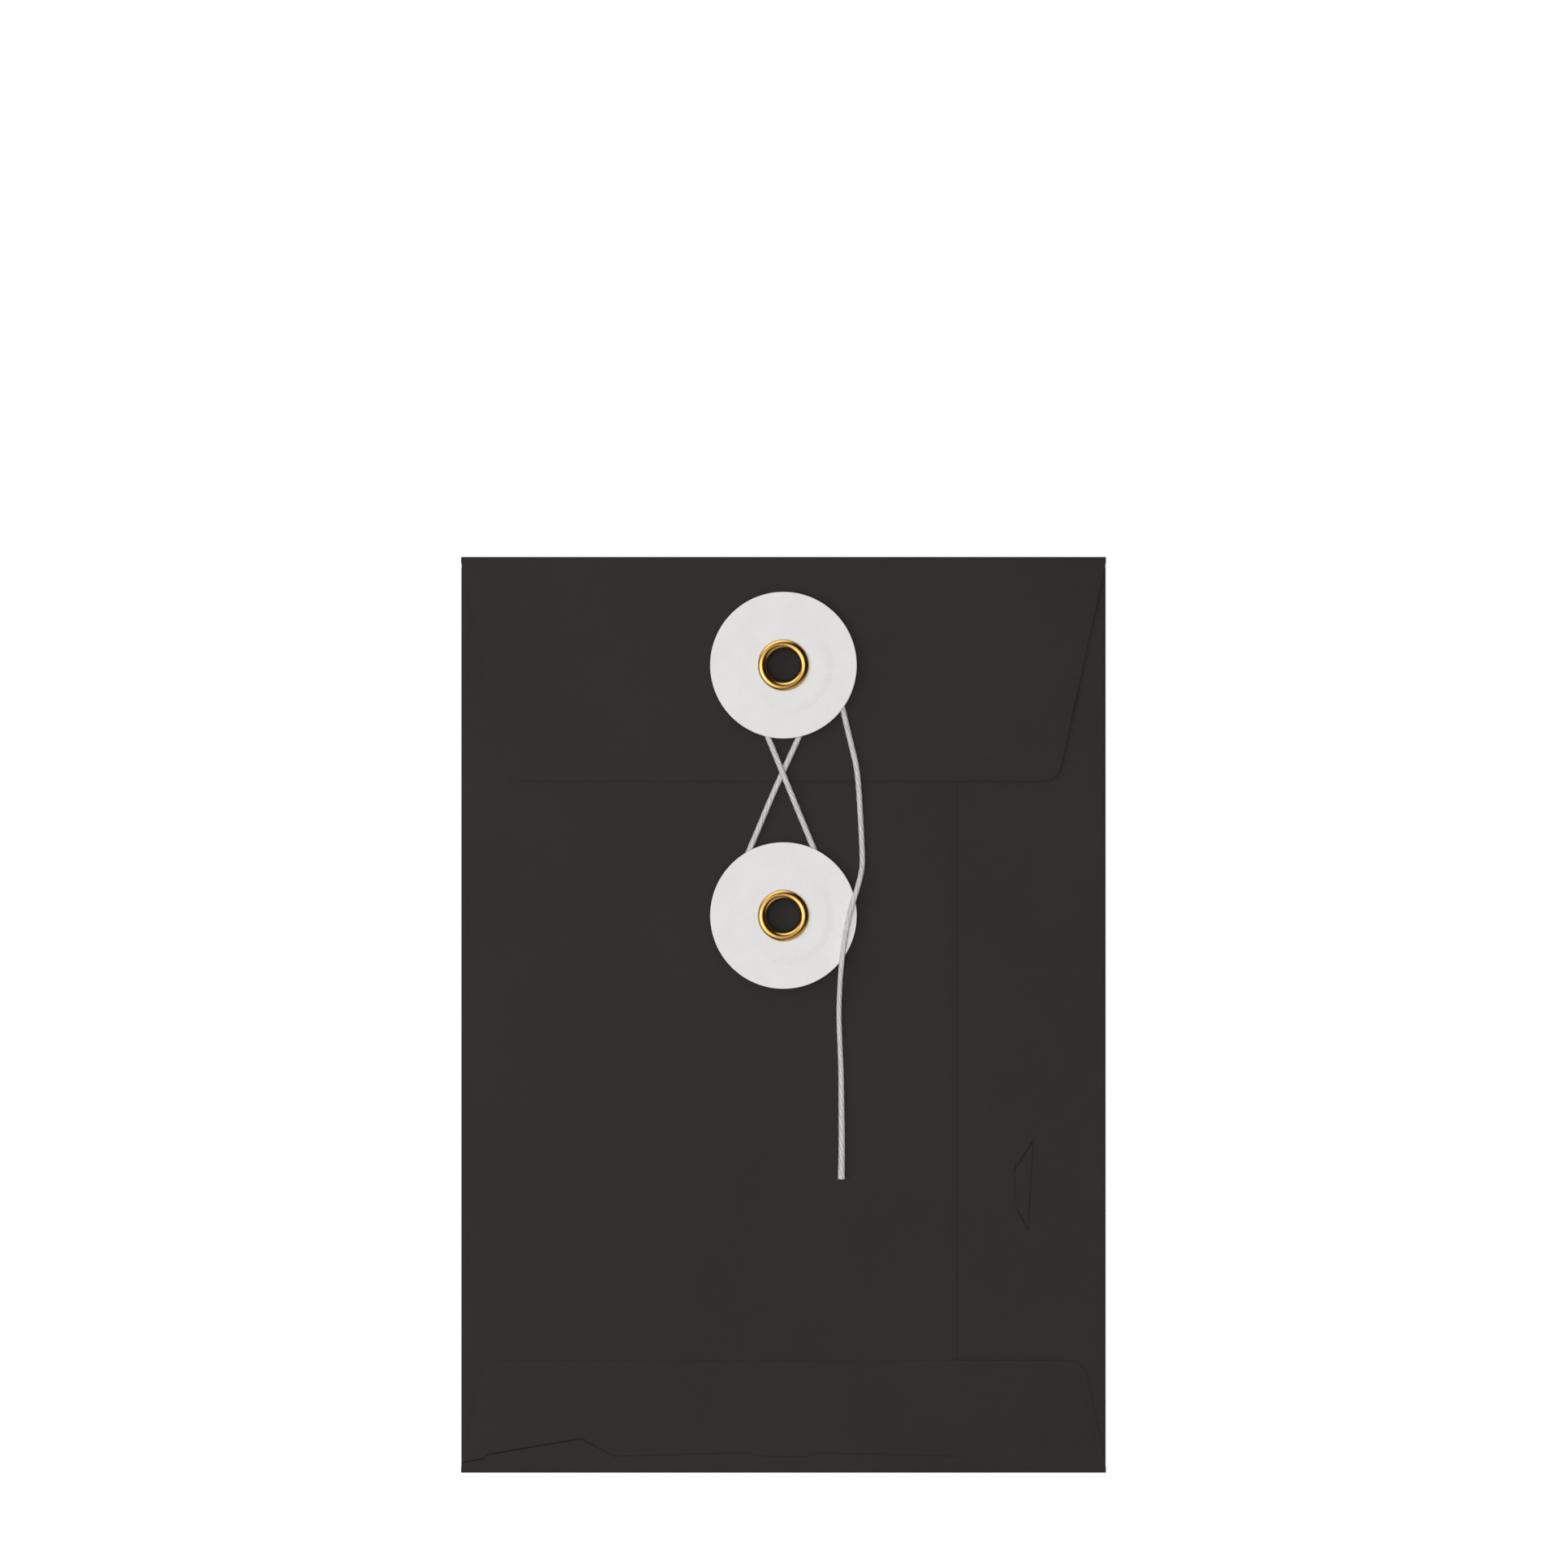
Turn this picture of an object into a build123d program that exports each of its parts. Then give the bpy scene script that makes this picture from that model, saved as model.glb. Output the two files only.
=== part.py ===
from build123d import *
import math
import os

# A string-and-washer envelope of C6 size, closed, lying on its front panel. Millimetres.
# The origin is the centre of the front panel's outer face: X across, Y towards the top fold,
# Z out of the back. One sheet of paper is folded at four creases, two card washers are
# riveted on with brass eyelets, and a string is wound in a figure of eight between them.

# Folded sheet
envelope_width = 114.0
envelope_height = 162.0
paper_thickness = 0.25
pocket_gap = 0.9
gum_thickness = 0.05
gum_inset = 1.0

# Closing flap, tapered towards its free edge
flap_length = 39.65
flap_taper = 8.5
flap_corner_radius = 3.5
flap_clearance = 0.05

# Back panels: the left one laps over the right one, and the throat is cut below the top fold
left_panel_width = 87.6
seam_overlap = 14.0
throat_depth = 26.0
throat_width = 64.0
throat_shoulder = 1.0

# Bottom flap, folded up over both back panels
bottom_flap_length = 19.85
bottom_flap_taper = 3.9
bottom_flap_corner_radius = 3.5

# Card washers, placed down from the top fold
washer_diameter = 25.9
washer_thickness = 0.8
washer_edge_bevel = 0.15
upper_washer_drop = 19.2
washer_spacing = 44.2

# Brass eyelets: a rolled flange above the washer, a barrel, and a pressed clinch under the paper
eyelet_bore_diameter = 6.0
eyelet_wall = 0.25
eyelet_flange_width = 1.55
eyelet_flange_rise = 0.6
eyelet_flange_hollow = 0.35
eyelet_clinch_width = 1.3
eyelet_clinch_depth = 0.55
eyelet_clinch_hollow = 0.3
clinch_shoulder_share = 0.25
barrel_clearance = 0.05
clinch_clearance = 0.5

# String
cord_diameter = 1.0
cord_clearance = 0.1
cord_sides = 10
crossing_gap = 0.45
crossing_sag = 0.35
anchor_start_angle = -40.0
anchor_end_angle = -360.0
bend_share = 0.45
climb_share = 0.25
anchor_corners = 7
loop_corners = 6
wrap_corners = 5
gap_samples = 400
gap_skip_diameters = 4

# Levels of the layers, from the table up
half_width = envelope_width / 2
half_height = envelope_height / 2
right_under = paper_thickness + pocket_gap
right_top = right_under + paper_thickness
left_under = right_top + gum_thickness
left_top = left_under + paper_thickness
bottom_flap_under = left_top + gum_thickness
bottom_flap_top = bottom_flap_under + paper_thickness
flap_under = left_top + flap_clearance
flap_top = flap_under + paper_thickness

# Each fold is a half round whose outside reaches from the table to the top of the panel it carries
left_fold = left_top / 2
right_fold = right_top / 2
bottom_fold = bottom_flap_top / 2
top_fold = flap_top / 2

# Where the flat panels meet the folds, and the edges of the layers
west = left_fold - half_width
east = half_width - right_fold
south = bottom_fold - half_height
north = half_height - top_fold
seam_edge = left_panel_width - half_width
lap_edge = seam_edge - seam_overlap
throat = half_height - throat_depth
shoulder = north - throat_shoulder
flap_edge = half_height - flap_length
bottom_flap_edge = bottom_flap_length - half_height

# Washers and eyelets stand on the paper with room for the string underneath
barrel_radius = eyelet_bore_diameter / 2 + eyelet_wall
hole_radius = barrel_radius + barrel_clearance
clinch_radius = eyelet_bore_diameter / 2 + eyelet_clinch_width
string_space = cord_diameter + 2 * cord_clearance
upper_y = half_height - upper_washer_drop
lower_y = upper_y - washer_spacing
upper_washer_under = flap_top + string_space
lower_washer_under = left_top + string_space

# Heights of the string's centre line
cord_radius = cord_diameter / 2
on_flap = flap_top + cord_clearance + cord_radius
on_back = left_top + cord_clearance + cord_radius
on_washer = lower_washer_under + washer_thickness + cord_clearance + cord_radius
off_washer = on_back + climb_share * (on_washer - on_back)

# The string's route, X and Y from the upper eyelet's axis. The two straight strands are given by
# two points each, and the tail from where it comes out under the upper washer to its cut end.
strand_down = [(2.45, -13.30), (-5.58, -31.67)]
strand_up = [(4.69, -30.80), (-2.41, -13.50)]
tail_route = [
    (10.45, -7.70, on_flap),
    (12.02, -14.20, on_flap),
    (12.82, -17.45, on_flap),
    (13.18, -20.20, on_flap),
    (13.36, -22.60, on_back),
    (13.72, -28.60, on_back),
    (13.93, -33.20, on_back),
    (13.94, -35.90, off_washer),
    (13.08, -39.30, on_washer),
    (11.75, -43.40, on_washer),
    (10.80, -48.20, on_washer),
    (10.15, -53.40, on_washer),
    (9.88, -58.00, off_washer),
    (9.78, -62.00, on_back),
    (9.97, -66.80, on_back),
    (10.19, -71.50, on_back),
    (10.24, -78.00, on_back),
    (10.34, -85.60, on_back),
    (10.22, -90.85, on_back),
]


def panel(outline, under):
    face = make_face(Polyline(*outline, close=True))
    return Pos(0, 0, under) * extrude(face, amount=paper_thickness)


def eyelet_hole(y, radius):
    return Pos(0, y, 0) * Cylinder(radius, envelope_height)


def front_panel():
    outline = [
        (west, south),
        (east, south),
        (east, shoulder),
        (half_width, shoulder),
        (half_width, north),
        (-half_width, north),
        (-half_width, shoulder),
        (west, shoulder),
    ]
    return panel(outline, 0)


def left_back_panel():
    outline = [
        (west, south),
        (seam_edge, south),
        (seam_edge, throat),
        (-throat_width / 2, throat),
        (west, shoulder),
    ]
    return panel(outline, left_under) - eyelet_hole(lower_y, hole_radius)


def right_side_flap():
    outline = [
        (lap_edge, south),
        (east, south),
        (east, shoulder),
        (throat_width / 2, throat),
        (lap_edge, throat),
    ]
    return panel(outline, right_under) - eyelet_hole(lower_y, clinch_radius + clinch_clearance)


def tapered_flap(fold_y, edge_y, taper, corner_radius, under):
    tip = half_width - taper
    corners = [(-half_width, fold_y), (half_width, fold_y), (tip, edge_y), (-tip, edge_y)]
    face = make_face(Polyline(*corners, close=True))
    free_corners = face.vertices().sort_by_distance((0, edge_y))[:2]
    return Pos(0, 0, under) * extrude(fillet(free_corners, corner_radius), amount=paper_thickness)


def closing_flap():
    flap = tapered_flap(north, flap_edge, flap_taper, flap_corner_radius, flap_under)
    return flap - eyelet_hole(upper_y, hole_radius)


def bottom_flap():
    return tapered_flap(
        south, bottom_flap_edge, bottom_flap_taper, bottom_flap_corner_radius, bottom_flap_under
    )


def crease(start, outward, along, length, radius):
    inner = radius - paper_thickness
    profile = make_face(
        [
            ThreePointArc((0, -radius), (radius, 0), (0, radius)),
            Line((0, radius), (0, inner)),
            ThreePointArc((0, inner), (inner, 0), (0, -inner)),
            Line((0, -inner), (0, -radius)),
        ]
    )
    across = Plane(origin=start, x_dir=outward, z_dir=along)
    return extrude(across * profile, amount=length)


def left_crease():
    return crease((west, south, left_fold), (-1, 0, 0), (0, 1, 0), shoulder - south, left_fold)


def right_crease():
    return crease((east, shoulder, right_fold), (1, 0, 0), (0, -1, 0), shoulder - south, right_fold)


def bottom_crease():
    start = (half_width, south, bottom_fold)
    return crease(start, (0, -1, 0), (-1, 0, 0), envelope_width, bottom_fold)


def flap_crease():
    start = (-half_width, north, top_fold)
    return crease(start, (0, 1, 0), (1, 0, 0), envelope_width, top_fold)


def gum_film(x_from, x_to, y_from, y_to, under):
    film = Box(x_to - x_from, y_to - y_from, gum_thickness, align=(Align.MIN, Align.MIN, Align.MIN))
    return Pos(x_from, y_from, under) * film


def side_seam_gum():
    return gum_film(
        lap_edge + gum_inset, seam_edge - gum_inset, south + gum_inset, throat - gum_inset, right_top
    )


def bottom_flap_gum():
    reach = half_width - bottom_flap_taper - bottom_flap_corner_radius
    return gum_film(
        gum_inset - reach, seam_edge - gum_inset, south + gum_inset, bottom_flap_edge - gum_inset, left_top
    )


def washer(y, under):
    disc = extrude(Circle(washer_diameter / 2) - Circle(hole_radius), amount=washer_thickness)
    rim = disc.edges().filter_by(GeomType.CIRCLE).group_by(SortBy.RADIUS)[-1]
    return Pos(0, y, under) * chamfer(rim, washer_edge_bevel)


def lip_hollow(bore, width, hollow, level):
    # Back along the inside of an end of the tube that is turned over
    lip_inside = bore + width - eyelet_wall
    wall_outside = bore + eyelet_wall
    return Polyline(
        (bore + width, level),
        (lip_inside, level),
        ((lip_inside + wall_outside) / 2, level + hollow),
        (wall_outside, level),
    )


def rolled_flange(bore, level):
    crest = (bore + eyelet_flange_width / 2, level + eyelet_flange_rise)
    return [
        ThreePointArc((bore, level), crest, (bore + eyelet_flange_width, level)),
        lip_hollow(bore, eyelet_flange_width, eyelet_flange_hollow, level),
    ]


def pressed_clinch(bore, level):
    shoulder = eyelet_clinch_width * clinch_shoulder_share
    bottom = level - eyelet_clinch_depth
    return [
        Polyline(
            (bore, level),
            (bore + shoulder, bottom),
            (bore + eyelet_clinch_width - shoulder, bottom),
            (bore + eyelet_clinch_width, level),
        ),
        lip_hollow(bore, eyelet_clinch_width, -eyelet_clinch_hollow, level),
    ]


def eyelet(y, washer_under, paper_under):
    bore = eyelet_bore_diameter / 2
    flange_level = washer_under + washer_thickness + barrel_clearance
    barrel_inside = Line((bore, flange_level), (bore, paper_under))
    barrel_outside = Line((barrel_radius, flange_level), (barrel_radius, paper_under))
    ends = rolled_flange(bore, flange_level) + pressed_clinch(bore, paper_under)
    section = make_face(ends + [barrel_inside, barrel_outside])
    return Pos(0, y, 0) * revolve(Plane.XZ * section, axis=Axis.Z)


def nearest_on_line(centre, line):
    # Distance and direction from a centre to a straight strand, as radius and angle in degrees
    first = Vector(*line[0])
    along = (Vector(*line[1]) - first).normalized()
    foot = first + along * (Vector(*centre) - first).dot(along) - Vector(*centre)
    return foot.length, math.degrees(math.atan2(foot.Y, foot.X)) % 360


def on_line(line, x):
    (x_first, y_first), (x_last, y_last) = line
    return y_first + (y_last - y_first) * (x - x_first) / (x_last - x_first)


def crossing(line, other):
    first = Vector(*line[0])
    along = Vector(*line[1]) - first
    other_first = Vector(*other[0])
    other_along = Vector(*other[1]) - other_first
    share = (other_first - first).cross(other_along).Z / along.cross(other_along).Z
    return first + along * share


def turn_corners(centre, angles, radii, corners, level):
    # Corners of a polygon drawn round a turn of string, whose sides touch the turn
    step = (angles[1] - angles[0]) / corners
    points = []
    for index in range(corners):
        angle = math.radians(angles[0] + step * (index + 1 / 2))
        side_radius = radii[0] + (radii[1] - radii[0]) * index / (corners - 1)
        radius = side_radius / math.cos(math.radians(step / 2))
        points.append((centre[0] + radius * math.cos(angle), centre[1] + radius * math.sin(angle), level))
    return points


def winding_route():
    # Tied round the upper barrel, down to the left, round the lower barrel, up over the first
    # strand, and over the top of the upper barrel to where the tail comes out
    upper = (0, 0)
    lower = (0, -washer_spacing)
    tail_exit = [point[:2] for point in tail_route[:2]]
    anchor_radius = barrel_radius + cord_clearance + cord_radius
    anchor_angles = (anchor_start_angle, anchor_end_angle)
    points = turn_corners(upper, anchor_angles, (anchor_radius, anchor_radius), anchor_corners, on_flap)
    points.append((anchor_radius, on_line(strand_down, anchor_radius), on_flap))

    down_radius, down_angle = nearest_on_line(lower, strand_down)
    up_radius, up_angle = nearest_on_line(lower, strand_up)
    loop_angles = (down_angle, up_angle + 360)
    points += turn_corners(lower, loop_angles, (down_radius, up_radius), loop_corners, on_back)

    over = crossing(strand_down, strand_up)
    top = on_flap + cord_diameter + crossing_gap + crossing_sag
    points.append((*strand_up[0], on_back))
    points.append((over.X, over.Y, top))
    points.append((*strand_up[1], on_flap))

    wrap_radius, wrap_angle = nearest_on_line(upper, strand_up)
    exit_radius, exit_angle = nearest_on_line(upper, tail_exit)
    wrap_angles = (wrap_angle, exit_angle)
    points += turn_corners(upper, wrap_angles, (wrap_radius, exit_radius), wrap_corners, on_flap)
    points.append(tail_route[0])
    return points


def cord_path(name, route):
    points = [Vector(x, y + upper_y, z) for x, y, z in route]
    radii = []
    for before, point, after in zip(points, points[1:], points[2:]):
        run_in = point - before
        run_out = after - point
        half_turn = math.radians(run_in.get_angle(run_out) / 2)
        radii.append(bend_share * min(run_in.length, run_out.length) / math.tan(half_turn))
    print(name, "bend radii", [round(radius, 1) for radius in radii])
    return FilletPolyline(*points, radius=radii)


def cord_tube(name, path):
    section = Plane(origin=path @ 0, z_dir=path % 0) * RegularPolygon(cord_radius, cord_sides)
    tube = sweep(section, path=path)
    expected = section.area * path.length
    print(name, "length", round(path.length, 2), "volume", round(tube.volume, 3), "of", round(expected, 3))
    return tube


def least_gap(path):
    samples = [path @ (index / gap_samples) for index in range(gap_samples + 1)]
    skip = math.ceil(gap_skip_diameters * cord_diameter * gap_samples / path.length)
    nearest = path.length
    for index, point in enumerate(samples):
        for other in samples[index + skip:]:
            nearest = min(nearest, (other - point).length)
    return nearest - cord_diameter


def string_winding():
    path = cord_path("string_winding", winding_route())
    print("string_winding least gap to itself", round(least_gap(path), 3))
    return cord_tube("string_winding", path)


def string_tail():
    return cord_tube("string_tail", cord_path("string_tail", tail_route))


nodes = {
    "front_panel": front_panel(),
    "left_back_panel": left_back_panel(),
    "right_side_flap": right_side_flap(),
    "bottom_flap": bottom_flap(),
    "closing_flap": closing_flap(),
    "left_crease": left_crease(),
    "right_crease": right_crease(),
    "bottom_crease": bottom_crease(),
    "flap_crease": flap_crease(),
    "side_seam_gum": side_seam_gum(),
    "bottom_flap_gum": bottom_flap_gum(),
    "upper_washer": washer(upper_y, upper_washer_under),
    "lower_washer": washer(lower_y, lower_washer_under),
    "upper_eyelet": eyelet(upper_y, upper_washer_under, flap_under),
    "lower_eyelet": eyelet(lower_y, lower_washer_under, left_under),
    "string_winding": string_winding(),
    "string_tail": string_tail(),
}

os.makedirs("parts", exist_ok=True)
for name, solid in nodes.items():
    export_step(solid, f"parts/{name}.step")
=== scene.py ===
import bpy
import numpy as np
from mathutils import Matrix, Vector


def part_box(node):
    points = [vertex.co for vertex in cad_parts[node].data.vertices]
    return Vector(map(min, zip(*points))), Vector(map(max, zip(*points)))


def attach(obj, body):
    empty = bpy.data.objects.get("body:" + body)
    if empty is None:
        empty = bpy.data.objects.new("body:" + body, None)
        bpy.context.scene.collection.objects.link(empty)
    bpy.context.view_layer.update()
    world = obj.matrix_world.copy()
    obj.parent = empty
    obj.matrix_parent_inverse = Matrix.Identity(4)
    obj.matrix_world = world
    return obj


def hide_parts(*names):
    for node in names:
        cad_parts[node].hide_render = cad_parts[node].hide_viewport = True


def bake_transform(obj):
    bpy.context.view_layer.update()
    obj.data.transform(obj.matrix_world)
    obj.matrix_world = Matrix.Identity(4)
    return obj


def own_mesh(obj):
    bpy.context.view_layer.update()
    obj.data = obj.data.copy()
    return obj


# A string tie envelope that lies on its front panel, closed. Metres, X across, Y towards the top
# fold, Z out of the back. Paper layers share one slow wave, so that they stay on each other.

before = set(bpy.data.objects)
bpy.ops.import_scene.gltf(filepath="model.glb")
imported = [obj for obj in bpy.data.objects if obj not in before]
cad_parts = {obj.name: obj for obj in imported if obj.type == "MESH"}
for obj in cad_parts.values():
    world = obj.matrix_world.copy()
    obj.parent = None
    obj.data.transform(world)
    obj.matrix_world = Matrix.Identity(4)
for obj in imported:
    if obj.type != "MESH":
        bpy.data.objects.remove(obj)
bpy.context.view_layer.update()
turn = 2 * np.pi
print("frame loaded,", len(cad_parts), "nodes")


def nodeBox(name):
    return np.array([list(corner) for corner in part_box(name)])


def smoothStep(share):
    # 0 up to 0, 1 from 1 on, level at both ends
    share = np.clip(share, 0, 1)
    return share * share * (3 - 2 * share)


def bell(distance, width):
    # 1 at no distance, falling away as a Gaussian
    return np.exp(-(distance / width) ** 2)


# Where the CAD layers lie
frontBox = nodeBox("front_panel")
leftBox = nodeBox("left_back_panel")
rightBox = nodeBox("right_side_flap")
flapBox = nodeBox("closing_flap")
upperAxis = nodeBox("upper_eyelet").mean(axis=0)[:2]
lowerAxis = nodeBox("lower_eyelet").mean(axis=0)[:2]
washerRadius = np.ptp(nodeBox("upper_washer")[:, 0]) / 2
paperThickness = np.ptp(frontBox[:, 2])
halfWidth = frontBox[1, 0]
west, south = leftBox[0, :2]
east = rightBox[1, 0]
north = frontBox[1, 1]
flapTop = flapBox[1, 2]
backTop = leftBox[1, 2]
eyeletHole = 0.0033  # radius of the holes in paper and card
throat = 0.055  # Y of the throat's lower edge, cut into the back panels
throatHalf = 0.032  # and half its width


# Mesh building

def gridFaces(rows, columns, wrapRows, wrapColumns):
    # quads between neighbours of a grid numbered row by row, joined to its start where it wraps
    row = np.arange(rows if wrapRows else rows - 1)[:, None]
    column = np.arange(columns if wrapColumns else columns - 1)[None, :]
    nextRow = (row + 1) % rows
    nextColumn = (column + 1) % columns
    corners = (
        row * columns + column,
        row * columns + nextColumn,
        nextRow * columns + nextColumn,
        nextRow * columns + column,
    )
    return np.stack(np.broadcast_arrays(*corners), axis=-1).reshape(-1, 4)


def outward(points, quads):
    # a closed surface of quads holds a positive volume where they face outwards
    first, second, third, fourth = (points[quads[:, corner]] for corner in range(4))
    volume = np.sum(first * np.cross(second, third)) + np.sum(first * np.cross(third, fourth))
    return quads if volume > 0 else quads[:, ::-1]


def newObject(name, data):
    made = bpy.data.objects.new(name, data)
    bpy.context.scene.collection.objects.link(made)
    return made


def newPiece(name, points, faces, material, attributes, sharpAngle):
    mesh = bpy.data.meshes.new(name)
    mesh.from_pydata(points, [], faces)
    mesh.polygons.foreach_set("use_smooth", np.ones(len(mesh.polygons), bool))
    mesh.set_sharp_from_angle(angle=sharpAngle)
    for label, values in attributes.items():
        kind = "FLOAT_VECTOR" if values.ndim > 1 else "FLOAT"
        field = "vector" if values.ndim > 1 else "value"
        layer = mesh.attributes.new(label, kind, "POINT")
        layer.data.foreach_set(field, values.ravel().astype(np.float32))
    mesh.materials.append(material)
    mesh.update()
    return newObject(name, mesh)


def closedSheet(name, top, bottom, wrapColumns, material, attributes):
    # the top rows and then the bottom rows backwards, as one loop of rows round the sheet
    rows, columns = top.shape[:2]
    points = np.concatenate([top, bottom[::-1]]).reshape(-1, 3)
    faces = gridFaces(2 * rows, columns, True, wrapColumns)
    if not wrapColumns:
        upper = np.arange(rows - 1) * columns
        lower = (2 * rows - 1 - np.arange(rows - 1)) * columns
        firstEnd = np.stack([upper, upper + columns, lower - columns, lower], axis=-1)
        lastEnd = firstEnd[:, ::-1] + columns - 1
        faces = np.concatenate([faces, firstEnd, lastEnd])
    both = {
        label: np.concatenate([values, values[::-1]]).ravel()
        for label, values in attributes.items()
    }
    return newPiece(name, points, outward(points, faces), material, both, sheetEdges["sharpAngle"])


def lathe(name, centre, radius, height, shape, material, attributes):
    # a closed profile of radius and height, carried round an upright axis
    columns = shape["columns"]
    angle = np.arange(columns) / columns * turn
    x = centre[0] + radius[:, None] * np.cos(angle)
    y = centre[1] + radius[:, None] * np.sin(angle)
    z = np.broadcast_to(height, x.shape)
    points = np.stack([x, y, z], axis=-1).reshape(-1, 3)
    faces = gridFaces(len(radius), columns, True, True)
    everyPoint = {
        label: np.broadcast_to(values, x.shape).ravel()
        for label, values in attributes.items()
    }
    return newPiece(name, points, outward(points, faces), material, everyPoint, shape["sharpAngle"])


def place(piece, body, slot, *nodes):
    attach(piece, body)
    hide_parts(*nodes)


# Material building

def newMaterial(name):
    material = bpy.data.materials.new(name)
    material.use_nodes = True
    tree = material.node_tree
    return material, tree, tree.nodes["Principled BSDF"]


def feed(tree, socket, value):
    # a socket takes a link, and a plain value is set on it
    if isinstance(value, bpy.types.NodeSocket):
        tree.links.new(value, socket)
    else:
        socket.default_value = value


def newNode(tree, kind, sockets, **settings):
    # the outputs of a new node with its settings, and with its sockets linked or set
    node = tree.nodes.new("ShaderNode" + kind)
    for label, setting in settings.items():
        setattr(node, label, setting)
    for socket, value in sockets.items():
        feed(tree, node.inputs[socket], value)
    return node.outputs


def objectPlace(tree):
    return newNode(tree, "TexCoord", {})["Object"]


def attributeOf(tree, label, output):
    return newNode(tree, "Attribute", {}, attribute_name=label)[output]


def noise(tree, vector, scale, detail):
    return newNode(tree, "TexNoise", {"Vector": vector, "Scale": scale, "Detail": detail})["Fac"]


def streaks(tree, vector, scale, rotation, detail):
    # noise that is drawn out along the axis with the smallest of the three scales
    drawn = newNode(tree, "Mapping", {"Vector": vector, "Scale": scale, "Rotation": rotation})
    return noise(tree, drawn["Vector"], 1, detail)


def calculate(tree, operation, first, second):
    return newNode(tree, "Math", {0: first, 1: second}, operation=operation)["Value"]


def weighted(tree, parts, shares):
    # the parts added up, each times its share
    first, *others = [calculate(tree, "MULTIPLY", part, share) for part, share in zip(parts, shares)]
    for other in others:
        first = calculate(tree, "ADD", first, other)
    return first


def remap(tree, value, fromRange, toRange):
    ends = zip(("From Min", "From Max", "To Min", "To Max"), (*fromRange, *toRange))
    return newNode(tree, "MapRange", {"Value": value, **dict(ends)})["Result"]


def mixColour(tree, share, first, second):
    # a mix node takes colours at sockets 6 and 7 and gives them at 2
    return newNode(tree, "Mix", {0: share, 6: first, 7: second}, data_type="RGBA")[2]


def bump(tree, height, strength, distance):
    return newNode(tree, "Bump", {"Height": height, "Strength": strength, "Distance": distance})["Normal"]


def toned(tree, look, *parts):
    # from dark to light by the weighted sum of the parts
    tone = remap(tree, weighted(tree, parts, look["toneShares"]), *look["tone"])
    return mixColour(tree, tone, look["dark"], look["light"])


def finishLook(tree, shader, look, colour, rough, relief):
    feed(tree, shader.inputs["Base Color"], colour)
    feed(tree, shader.inputs["Roughness"], rough)
    feed(tree, shader.inputs["Normal"], bump(tree, relief, *look["bump"]))
    for label, value in look["plain"].items():
        shader.inputs[label].default_value = value


# In each look: a noise has scale and detail, streaks have scales, rotation and detail, and a value
# that is mapped has the range that it comes from and the range that it goes to. A bump has strength
# and distance.

# Paper: black dyed stock, matte, with faint clouds, fibres and a fine tooth, and painted shade along
# pressed lines
paperLook = {
    "dark": (0.0243, 0.0234, 0.0216, 1),
    "light": (0.0300, 0.0288, 0.0267, 1),
    "fibre": (0.040, 0.038, 0.035, 1),
    # painted shade colour for the pressed lines
    "pressed": (0.006, 0.006, 0.006, 1),
    "worn": (0.070, 0.067, 0.062, 1),
    "clouds": (45, 3),
    "mottle": (420, 4),
    "tooth": (5200, 3),
    "strands": ((1500, 9000, 4000), (0, 0, 0.5), 2),
    "crossing": ((1500, 9000, 4000), (0, 0, -0.9), 2),
    "toneShares": (0.35, 0.4, 0.25),  # of clouds, mottle and tooth
    "tone": ((0.32, 0.68), (0.0, 1.0)),
    "fibreShow": ((0.66, 0.80), (0.0, 0.5)),
    "wornShow": ((0.45, 0.75), (0.0, 0.6)),
    "roughness": ((0.3, 0.7), (0.84, 0.95)),
    "reliefShares": (1.0, 0.6),  # of tooth and fibres
    "bump": (0.35, 0.00003),
    "plain": {"Specular IOR Level": 0.2},
}


def makePaper(look):
    material, tree, shader = newMaterial("blackPaper")
    where = objectPlace(tree)
    clouds = noise(tree, where, *look["clouds"])
    mottle = noise(tree, where, *look["mottle"])
    tooth = noise(tree, where, *look["tooth"])
    strands = streaks(tree, where, *look["strands"])
    crossing = streaks(tree, where, *look["crossing"])
    fibres = calculate(tree, "MAXIMUM", strands, crossing)
    colour = toned(tree, look, clouds, mottle, tooth)
    colour = mixColour(tree, remap(tree, fibres, *look["fibreShow"]), colour, look["fibre"])
    rubbed = remap(tree, tooth, *look["wornShow"])
    worn = calculate(tree, "MULTIPLY", attributeOf(tree, "wear", "Fac"), rubbed)
    colour = mixColour(tree, worn, colour, look["worn"])
    # painted shade darkens the paper along the pressed lines
    colour = mixColour(tree, attributeOf(tree, "pressed", "Fac"), colour, look["pressed"])
    rough = remap(tree, mottle, *look["roughness"])
    relief = weighted(tree, (tooth, fibres), look["reliefShares"])
    finishLook(tree, shader, look, colour, rough, relief)
    return material


# Washer card: white board with a few grey specks and soft fibres
cardLook = {
    "dark": (0.712, 0.705, 0.692, 1),
    "light": (0.762, 0.755, 0.741, 1),
    "speck": (0.36, 0.34, 0.31, 1),
    "specks": [(520, 0.07, 0.24, 0.25), (1050, 0.10, 0.14, 0.2)],  # scale, size, share of cells, strength
    "speckCore": 0.4,  # the share of a speck's size that doesn't fade
    "clouds": (260, 4),
    "tooth": (3800, 4),
    "fibres": ((900, 5200, 2500), (0, 0, 0.7), 3),
    "toneShares": (0.5, 0.5),  # of clouds and tooth
    "tone": ((0.3, 0.7), (0.0, 1.0)),
    "roughness": ((0.3, 0.7), (0.68, 0.82)),
    "reliefShares": (1.0, 0.8),  # of tooth and fibres
    "bump": (0.25, 0.00004),
    "plain": {"Specular IOR Level": 0.25},
}


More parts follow.
